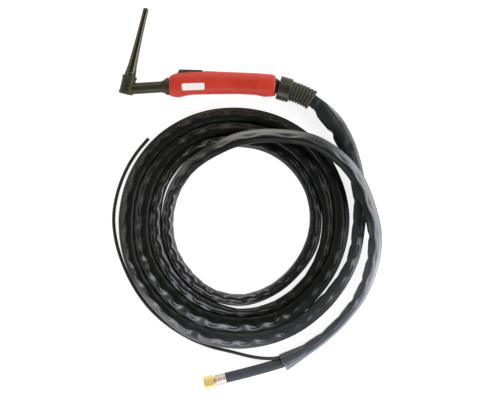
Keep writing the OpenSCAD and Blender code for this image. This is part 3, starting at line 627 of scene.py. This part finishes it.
# Outer and inner radius of each turn of the coil in mm, at every sixteenth of the turn,
# clockwise from the right
turns = [
    [(187, 167), (187, 169), (189, 166.5), (193, 171), (196.5, 171), (197, 172), (191, 169.5),
     (188, 167), (185, 160.5), (181.5, 159.5), (177, 154.5), (171, 149.5), (165.5, 143),
     (163, 141), (162, 140), (160.5, 140)],
    [(162, 137.5), (163, 139.5), (165.5, 141.5), (173, 146.5), (173, 147), (174, 147), (171, 144),
     (169, 142), (162.5, 137.5), (161, 135.5), (156, 134), (151, 128), (144, 123.5),
     (142.5, 120.5), (141.5, 118.5), (140, 117)],
    [(138.5, 120.5), (141, 123.5), (143, 128.5), (148, 133), (148.5, 136), (148.5, 130.5),
     (145.5, 127.5), (143.5, 123.5), (139.5, 120.5), (137, 121), (136, 118.5), (130, 111),
     (125.5, 106), (122, 104.5), (119.5, 103), (118, 102.5)],
    [(120, 102), (122, 102), (121.5, 104), (126, 109), (132, 114), (131.5, 114), (128.5, 109),
     (124.5, 106), (120.5, 102), (119, 100)],
]
# How far the sleeve's section reaches in and out from its centre line, in mm
section_in = 9.9
section_out = 10.6
coil_centre = (0.0348, -0.2386, 0.0098)
coil = []
coil_width = []
for turn in turns:
    for k, (outer, inner) in enumerate(turn):
        widened = (outer - inner) / (section_in + section_out)
        radius = (outer - section_out * widened) / 1000
        angle = math.radians(22.5 * k)
        coil.append((
            coil_centre[0] + radius * math.cos(angle),
            coil_centre[1] - radius * math.sin(angle),
            coil_centre[2],
        ))
        coil_width.append(widened)
# The innermost turn ends by climbing on to the others
coil[-1] = (*coil[-1][:2], 0.0115)
# From the inside of the coil over the other turns to the open end
tail = [
    (-0.042, -0.162, 0.0200), (-0.007, -0.138, 0.0290), (0.035, -0.1205, 0.0295),
    (0.086, -0.1165, 0.0295), (0.146, -0.127, 0.0295), (0.200, -0.170, 0.0295),
    (0.229, -0.239, 0.0265), (0.234, -0.272, 0.0175), (0.2308, -0.306, 0.0110),
    (0.2158, -0.349, 0.0098), (0.1935, -0.382, 0.0098), (0.1645, -0.4118, 0.0098),
    (0.1285, -0.4375, 0.0098), (0.0956, -0.4542, 0.0098),
]
sleeve_line, run, at_points = smooth_line(lead + coil + tail, 0.0015)
sleeve_length = float(run[-1])
out, up = side_and_up(sleeve_line)
# Place along the sleeve in mm
mm = run * 1000
end = mm[-1]
# Place along the sleeve in sixteenths of a turn: 0 where the coil starts, 57 where it ends
place_on = np.interp(run, at_points, np.arange(len(at_points)) - len(lead))

# Section in mm out from the centre line and up from it. It goes from the strip's edge over the
# top, round the inside and back underneath, on a swelling or where it is pinched
strip = [
    (10.6, 1.4), (10.6, 2.3), (10.0, 2.9), (9.0, 3.3), (7.9, 3.75),
]
swollen = [
    (6.9, 4.2), (6.2, 4.6), (5.7, 5.3), (5.2, 6.2), (4.6, 7.1), (3.8, 8.0), (2.7, 8.7),
    (1.4, 9.2), (-0.1, 9.4), (-1.8, 9.4), (-3.5, 9.2), (-5.1, 8.7), (-6.6, 7.8), (-7.8, 6.4),
    (-8.8, 4.7), (-9.5, 2.9), (-9.9, 1.0), (-9.9, -1.0), (-9.6, -3.0), (-8.8, -4.9),
]
pinched = [
    (6.8, 4.2), (5.4, 4.75), (4.0, 5.3), (2.7, 5.8), (1.5, 6.3), (0.4, 6.8), (-0.7, 7.1),
    (-1.9, 7.3), (-3.1, 7.3), (-4.3, 7.1), (-5.5, 6.7), (-6.6, 6.1), (-7.6, 5.3), (-8.4, 4.3),
    (-9.1, 3.0), (-9.6, 1.6), (-9.8, 0.1), (-9.7, -1.3), (-9.4, -3.1), (-8.7, -4.9),
]
underside = [
    (-7.6, -6.6), (-6.0, -8.0), (-4.1, -8.9), (-2.0, -9.3), (0.2, -9.4), (2.4, -9.2), (4.5, -8.6),
    (6.3, -7.4), (7.7, -5.8), (8.5, -3.8), (9.0, -1.8), (9.6, -0.4), (10.3, 0.5),
]
full = np.array(strip + swollen + underside)
to_pinched = np.array(strip + pinched + underside) - full
# The tail's strip is wider and lower, and its shoulder lies further in
tail_top = [
    (10.8, 0.2), (10.8, 1.2), (10.0, 2.0), (8.6, 2.9), (7.2, 3.7), (6.1, 4.6), (5.0, 5.1),
    (3.6, 5.8), (2.2, 6.6), (1.4, 7.4), (0.8, 8.1), (-0.1, 8.6), (-1.2, 8.9), (-2.3, 8.9),
    (-3.4, 8.6), (-4.5, 8.1), (-5.6, 7.4), (-6.6, 6.5),
]
tail_full = np.vstack([tail_top, full[len(tail_top):]])


def along_sleeve(*stops):
    """Value along the sleeve, from pairs of a place in sixteenths of a turn and a value."""
    return np.interp(place_on, *zip(*stops))


# Puckers: length of one in mm, how deep the pinches are, how sharply each notches the outline,
# and how deep the dimple on each swelling is
pucker = along_sleeve(
    (-6.7, 30), (-6.6, 58), (-4.6, 58), (-4.5, 40), (-3, 36), (0, 33), (16, 31), (35, 29), (46, 24),
    (57, 22), (60, 46), (64, 44), (65, 34), (71, 34),
)
depth = along_sleeve(
    (-8, 1.5), (-3, 1.5), (0, 1.0), (3, 0.9), (5, 1.15), (8, 1.05), (12, 0.7), (16, 0.6), (19, 1.1),
    (22, 1.1), (26, 0.75), (36, 0.8), (46, 0.6), (50, 0.75), (57, 0.75), (60, 0.6), (71, 0.5),
)
notch = along_sleeve(
    (-8, 2.6), (-6, 3.6), (-3, 3.2), (0, 1.6), (3, 1.0), (3.6, 0), (32.5, 0), (33, 0.7), (36, 0.7),
    (37, 0), (51, 0), (52, 0.8), (56, 0.9), (58, 0.3), (63, 0.6), (64.5, 4.5), (69, 4.5),
    (70.5, 0), (73, 0),
)
dimple = along_sleeve((36, 0), (39, 1), (43, 1), (46, 0.3), (50, 1.1), (57, 1.1), (60, 0))

# How many times as wide as its section the sleeve is
lead_width = [1.0, 1.0, 1.0, 1.3, 1.43, 1.47, 1.45, 1.38, 1.3, 1.12, 1.0]
tail_width = [0.95] * 2 + [1.02] * 6 + [1.0, 0.9, 0.82, 0.8, 0.9, 1.02]
width = np.interp(run, at_points, lead_width + coil_width + tail_width)


def eased(value, low, high):
    """Goes from 0 to 1 while the value goes from low to high."""
    part = np.clip((value - low) / (high - low), 0, 1)
    return part * part * (3 - 2 * part)


def bell(value, middle, spread):
    """1 where the value is at the middle, and less on both sides."""
    return np.exp(-((value - middle) / spread) ** 2)


# The sleeve is smooth in the boot, and almost smooth again at its open end
boot_mouth = 43
out_of_boot = eased(mm, boot_mouth, boot_mouth + 7)
mouth = eased(mm, end - 46, end - 4)
depth = depth * out_of_boot * (1 - 0.75 * mouth)
uneven = 0.2 * drift(run, 0.07, 11) * eased(mm, 60, 200)
phase = np.concatenate([[0], np.cumsum(np.diff(mm) / pucker[1:])]) + uneven

# Rows of the section that the puckers shape most, and how far in mm they move them
shoulder_row = 10
dome_row = 17
inner_row = 21
shoulder_ripple = 0.4
dimple_out = 1.1
dimple_down = 1.9
row = np.arange(len(full))
chance = np.random.default_rng(21)
pinch_size = chance.uniform(0.55, 1.15, int(phase[-1]) + 4)
dimple_size = chance.uniform(0.4, 1.1, int(phase[-1]) + 4)
turned = phase[:, None] + 0.10 * np.sin(row / len(full) * 2 * np.pi) + 0.5
fold = np.round(turned).astype(int)
closeness = np.cos(np.pi * (turned - fold))
pinch = depth[:, None] * pinch_size[fold] * closeness ** 2.4
nick = notch[:, None] * depth[:, None] * pinch_size[fold] * closeness ** 9
swelling = np.floor(turned)
hollow = (
    dimple[:, None] * dimple_size[swelling.astype(int)] * bell(turned - swelling, 0.5, 0.2)
    * bell(row, dome_row, 2.6) * out_of_boot[:, None]
)

# Each point's way out from the centre line and up from it, in mm
flat = (eased(place_on, 56, 60) * (1 - eased(mm, end - 80, end - 20)))[:, None, None]
across = full * (1 - flat) + tail_full * flat
nicked = bell(row, inner_row, 3.5) * nick
way_out = across[..., 0] + to_pinched[:, 0] * pinch + nicked + dimple_out * hollow
way_out = way_out * width[:, None]
way_up = across[..., 1] + to_pinched[:, 1] * pinch - dimple_down * hollow
ripple = shoulder_ripple * drift(run, 0.019, 24)[:, None]
way_out += ripple * bell(row, shoulder_row, 3.5) * depth[:, None]

# Small creases between the pinches, all round but for the strip
crease_height = 0.08
crease = sum(
    drift(run, step, 40 + k)[:, None] * bell(row, middle, 2.2)
    for k, (middle, step) in enumerate(
        [(10, 0.011), (13, 0.009), (16, 0.010), (19, 0.008), (22, 0.009), (25, 0.013), (7, 0.021)]
    )
)
raised = crease_height * crease * np.clip(depth, 0, 1)[:, None]
raised = 1 + raised / np.hypot(way_out, way_up)
way_out = way_out * raised
way_up = way_up * raised

# In the boot the sleeve is round; at its open end it spreads and the strip's corner stands out
boot_fit = 9.85
angle = np.arctan2(full[:, 1], full[:, 0])
free = out_of_boot[:, None]
on_strip_side = np.clip(way_out / 10, 0, 1)
free_out = free * (1 - on_strip_side) + eased(mm, boot_mouth, 100)[:, None] * on_strip_side
way_out = way_out * free_out + boot_fit * np.cos(angle) * (1 - free_out)
way_up = way_up * free + boot_fit * np.sin(angle) * (1 - free)
spread_out = 0.14
spread_up = 0.1
corner_out = 2.9
corner_down = 0.9
spread = mouth[:, None]
way_out += spread * (corner_out * np.clip((way_out - 8.6) / 2, 0, 1) + spread_out * way_out)
way_up += spread * (spread_up * way_up - corner_down * np.clip((way_out - 9) / 5, 0, 1))

floor_gap = 0.0004
rings = sleeve_line[:, None, :] + (
    way_out[..., None] * out[:, None, :] + way_up[..., None] * up[:, None, :]
) / 1000
rings[..., 2] = np.maximum(rings[..., 2], floor_gap)

# The fabric turns in at the open end and shows its inside for a short way
fabric = 0.75
turned_in = (0, 0.003, 0.011)
inward = (1 - fabric / np.hypot(way_out[-1], way_up[-1]))[:, None]
axis = sleeve_line[-1] - sleeve_line[-2]
axis /= np.linalg.norm(axis)
lip = sleeve_line[-1] + (rings[-1] - sleeve_line[-1]) * inward
rings = np.concatenate([rings, [lip - far * axis for far in turned_in]])

# The coating is polished on the strip and duller on the swellings, but for those on the inside
dome_polish = along_sleeve(
    (-8, 0), (0, 0.08), (34, 0.06), (37, 0.7), (43, 0.7), (45, 0.15), (49.5, 0.15), (51.5, 0.9),
    (56.5, 0.9), (58.5, 0.1), (61, 0.05), (64, 0.1), (66.5, 0.35), (71, 0.5),
)[:, None]
strip_polish = along_sleeve(
    (-3, 1), (0, 0.5), (3, 0.5), (4, 0.8), (6.5, 0.9), (8, 0.5), (10.5, 0.2), (14, 0.15),
    (15, 0.1), (18, 0.15), (19.5, 0.9), (22.5, 0.9), (24, 0.6), (27, 0.15), (30, 0.15), (31, 0.1),
    (35, 0.15), (36.5, 0.7), (40, 0.6), (43, 0.4), (46, 0.4), (47, 0.1), (51, 0.2), (52.5, 0.6),
    (57, 0.7), (59, 1),
)[:, None]
strip_reach = along_sleeve((-1, 4), (1, 10), (57, 10), (59, 8.5))[:, None]
on_strip = 1 - np.clip((row - strip_reach) / 2, 0, 1)
polish = on_strip * strip_polish + (1 - on_strip) * dome_polish

# Pale bluish sky reflection painted into the coating's colour, most of all along the strip of the tail
reflection_on_strip = along_sleeve(
    (-8, 0.05), (-2, 0.12), (1, 0.1), (4, 0.06), (7, 0), (60, 0), (64, 0.25), (66, 0.9), (71, 0.9),
)[:, None]
reflection_inside = along_sleeve(
    (-8, 0.04), (-2, 0.03), (1, 0.08), (4, 0.07), (6, 0), (60, 0), (64, 0.03), (66, 0.12),
    (71, 0.18),
)[:, None]
outer_rows = (1 - np.clip((row - 4) / 1.5, 0, 1)) + np.clip(row - 36, 0, 1)
painted_reflection = reflection_inside + (reflection_on_strip - reflection_inside) * outer_rows

place, coat = finish("sleeve_fabric")
cloud = place.noise(30, 4)
rumple = place.noise(190, 3, 0.5, 0.2)
weave = place.noise(1500, 2)
sleeve_fabric = coat(
    # Near-black fabric, mixed towards pale slate by the painted reflection
    Base_Color=place.node("Attribute", {"attribute_name": "painted_reflection"}, out="Fac").blend(
        cloud.blend((0.003, 0.0032, 0.0026), (0.009, 0.0092, 0.0078)), (0.28, 0.31, 0.34)
    ),
    Roughness=cloud.ramp(0.3, 0.7, 0.40, 0.52),
    Specular_IOR_Level=0.13,
    Specular_Tint=(0.80, 1.0, 0.76),
    Coat_Weight=place.node("Attribute", {"attribute_name": "polish"}, out="Fac"),
    Coat_Roughness=0.30,
    Coat_IOR=1.75,
    Normal=weave.bump(0.15, 0.00008, rumple.bump(0.06, 0.0006)),
)
sleeve = tube("jacket_sleeve", rings, "hose_package", sleeve_fabric)
inside_rings = np.zeros((len(turned_in), len(row)))
paint(sleeve, "polish", np.concatenate([polish, inside_rings]))
paint(sleeve, "painted_reflection", np.concatenate([painted_reflection, inside_rings]))
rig.replaces(sleeve, "jacket_lead", "jacket_coil", "jacket_tail")
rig.slot(sleeve, "jacket")
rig.cord(
    sleeve, exit=lead[0], length=round(sleeve_length, 3), diameter=0.022, far_end="object",
    stiffness="medium", lay="coiled", path=sleeve_line[::4],
)


# ---------------------------------------------------------------------------
# Power hose: rubber hose round the copper braid, out of the sleeve's end. It
# ends in a crimped nickel ferrule on a brass tail with a hexagon union nut.
# ---------------------------------------------------------------------------

def round_tube(name, points, diameter, body, material, sides, step):
    """A round cord through these points, with its edges just broken at both ends."""
    broken = 0.0004
    line, along, _ = smooth_line(points, step)
    left, above = side_and_up(line)
    radius = np.full(len(line), diameter / 2)
    line = np.vstack([line[:1], line, line[-1:]])
    left, above = (np.vstack([v[:1], v, v[-1:]]) for v in (left, above))
    radius = np.concatenate([radius[:1] - broken, radius, radius[-1:] - broken])
    around = np.arange(sides) * 2 * np.pi / sides
    cord_rings = [
        at + reach * (np.cos(around)[:, None] * aside + np.sin(around)[:, None] * over)
        for at, reach, aside, over in zip(line, radius, left, above)
    ]
    return tube(name, cord_rings, body, material), line[1:-1], float(along[-1])


hose_route = [
    (0.1045, -0.4527, 0.0092), (0.0961, -0.4556, 0.0092), (0.081, -0.4604, 0.0092),
    (0.060, -0.4664, 0.0088), (0.035, -0.4729, 0.0088), (0.011, -0.4789, 0.0088),
    (-0.00161, -0.48214, 0.0088),
]
hose, hose_line, hose_length = round_tube(
    "power_hose_cover", hose_route, 0.0156, "hose_package", hose_rubber, sides=40, step=0.002
)
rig.replaces(hose, "power_hose")
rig.slot(hose, "hose_rubber")
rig.cord(
    hose, exit=hose_route[0], length=round(hose_length, 3), diameter=0.0156, far_end="fitting",
    stiffness="stiff", lay="loose", path=hose_line,
    with_pieces=[nodes["hose_ferrule"], nodes["hose_tail"], nodes["nose_seal"], nodes["union_nut"]],
)
wear(fitting_brass, "hose_tail")

place, coat = finish("nut_brass")
cloud = place.noise(120, 4)
scratch = place.noise(1300, 3, 0.6, 0.4)
nut_brass = coat(
    Base_Color=cloud.blend((1.0, 0.78, 0.30), (0.97, 0.70, 0.24)),
    Metallic=0.55,
    Roughness=scratch.ramp(0.3, 0.75, 0.42, 0.56),
    Normal=scratch.bump(0.2, 0.00005),
)
wear(nut_brass, "union_nut")


# ---------------------------------------------------------------------------
# Control cable: two switch wires in a thin black jacket. It leaves the sleeve
# beside the hose, runs round the outside of the coil and ends bare.
# ---------------------------------------------------------------------------

cable_route = [
    (0.1016, -0.443, 0.0136), (0.0924, -0.447, 0.0137), (0.0865, -0.4487, 0.0134),
    (0.0803, -0.4496, 0.0105), (0.0735, -0.45, 0.0072), (0.0655, -0.4497, 0.0049),
    (0.0565, -0.4487, 0.0036),
    (0.0476, -0.4472, 0.0031), (0.038, -0.4451, 0.003), (0.019, -0.4403, 0.003),
    (-0.0118, -0.4328, 0.003), (-0.041, -0.4213, 0.003), (-0.074, -0.4014, 0.003),
    (-0.1028, -0.376, 0.003), (-0.1254, -0.3456, 0.003), (-0.1423, -0.312, 0.003),
    (-0.154, -0.276, 0.003), (-0.1582, -0.2386, 0.003), (-0.1525, -0.2013, 0.003),
    (-0.1394, -0.1665, 0.003), (-0.1242, -0.1412, 0.003), (-0.1056, -0.1187, 0.003),
]
place, coat = finish("cable_pvc")
cloud = place.noise(50, 3)
cable_pvc = coat(
    Base_Color=cloud.blend((0.020, 0.017, 0.011), (0.040, 0.033, 0.021)),
    Roughness=cloud.ramp(0.3, 0.7, 0.28, 0.4),
    Normal=place.noise(700, 3).bump(0.15, 0.0001),
)
cable, cable_line, cable_length = round_tube(
    "control_cable_jacket", cable_route, 0.0052, "hose_package", cable_pvc, sides=24, step=0.0016
)
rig.replaces(cable, "control_cable")
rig.slot(cable, "cable_rubber")
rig.cord(
    cable, exit=cable_route[0], length=round(cable_length, 3), diameter=0.0052, far_end="bare",
    stiffness="medium", lay="loose", path=cable_line,
)


# ---------------------------------------------------------------------------
# Stage: a white floor that glows a little, a soft box off each side of the
# torch, and a camera that looks straight down on it.
# ---------------------------------------------------------------------------

floor_half = 6.0
floor_corners = [
    (x * floor_half, y * floor_half, 0) for x, y in ((-1, -1), (1, -1), (1, 1), (-1, 1))
]
floor_mesh = bpy.data.meshes.new("floor")
floor_mesh.from_pydata(floor_corners, [], [(0, 1, 2, 3)])
floor = bpy.data.objects.new("floor", floor_mesh)
bpy.context.scene.collection.objects.link(floor)
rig.stage(floor)
place, coat = finish("floor_paper")
floor_mesh.materials.append(coat(
    Base_Color=(0.55, 0.55, 0.55), Roughness=0.9, Specular_IOR_Level=0.0,
    Emission_Color=(1.0, 1.0, 1.0), Emission_Strength=0.8,
))


def soft_box(name, at, width, power, colour):
    """A flat lamp of this width in metres and power in watts, turned to the middle of the torch."""
    lamp = bpy.data.lights.new(name, "AREA")
    lamp.shape = "RECTANGLE"
    lamp.size = width
    lamp.size_y = 1.4
    lamp.energy = power
    lamp.color = colour
    box = bpy.data.objects.new(name, lamp)
    box.location = at
    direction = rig.Vector((0.047, -0.21, 0.0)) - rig.Vector(at)
    box.rotation_mode = "QUATERNION"
    box.rotation_quaternion = direction.to_track_quat("-Z", "Y")
    bpy.context.scene.collection.objects.link(box)


soft_box("left", (-2.0, 0.2, 1.1), 1.7, 12, (1.0, 0.92, 0.80))
soft_box("above", (-0.2, 2.0, 1.1), 1.7, 26, (1.0, 0.96, 0.91))
soft_box("right", (2.1, 0.05, 1.1), 3.4, 76, (0.90, 0.89, 1.0))
soft_box("below", (-0.8, -2.4, 1.15), 3.2, 66, (0.90, 0.90, 1.0))

world = bpy.data.worlds.new("studio")
world.use_nodes = True
world.node_tree.nodes["Background"].inputs["Color"].default_value = (1, 1, 1, 1)
world.node_tree.nodes["Background"].inputs["Strength"].default_value = 0.07
bpy.context.scene.world = world
bpy.context.scene.view_settings.view_transform = "Standard"

camera_data = bpy.data.cameras.new("camera")
camera = bpy.data.objects.new("camera", camera_data)
bpy.context.scene.collection.objects.link(camera)
camera_height = 2.4
seen_level = 0.014
seen_width = 0.75
camera.location = (0.04725, -0.2116, camera_height)
camera_data.lens = camera_data.sensor_width * (camera_height - seen_level) / seen_width
camera_data.clip_end = 50
bpy.context.scene.camera = camera

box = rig.bounds()
json.dump({"cad": [list(v) for v in cad_box], "visual": [list(v) for v in box]},
          open("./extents.json", "w"))
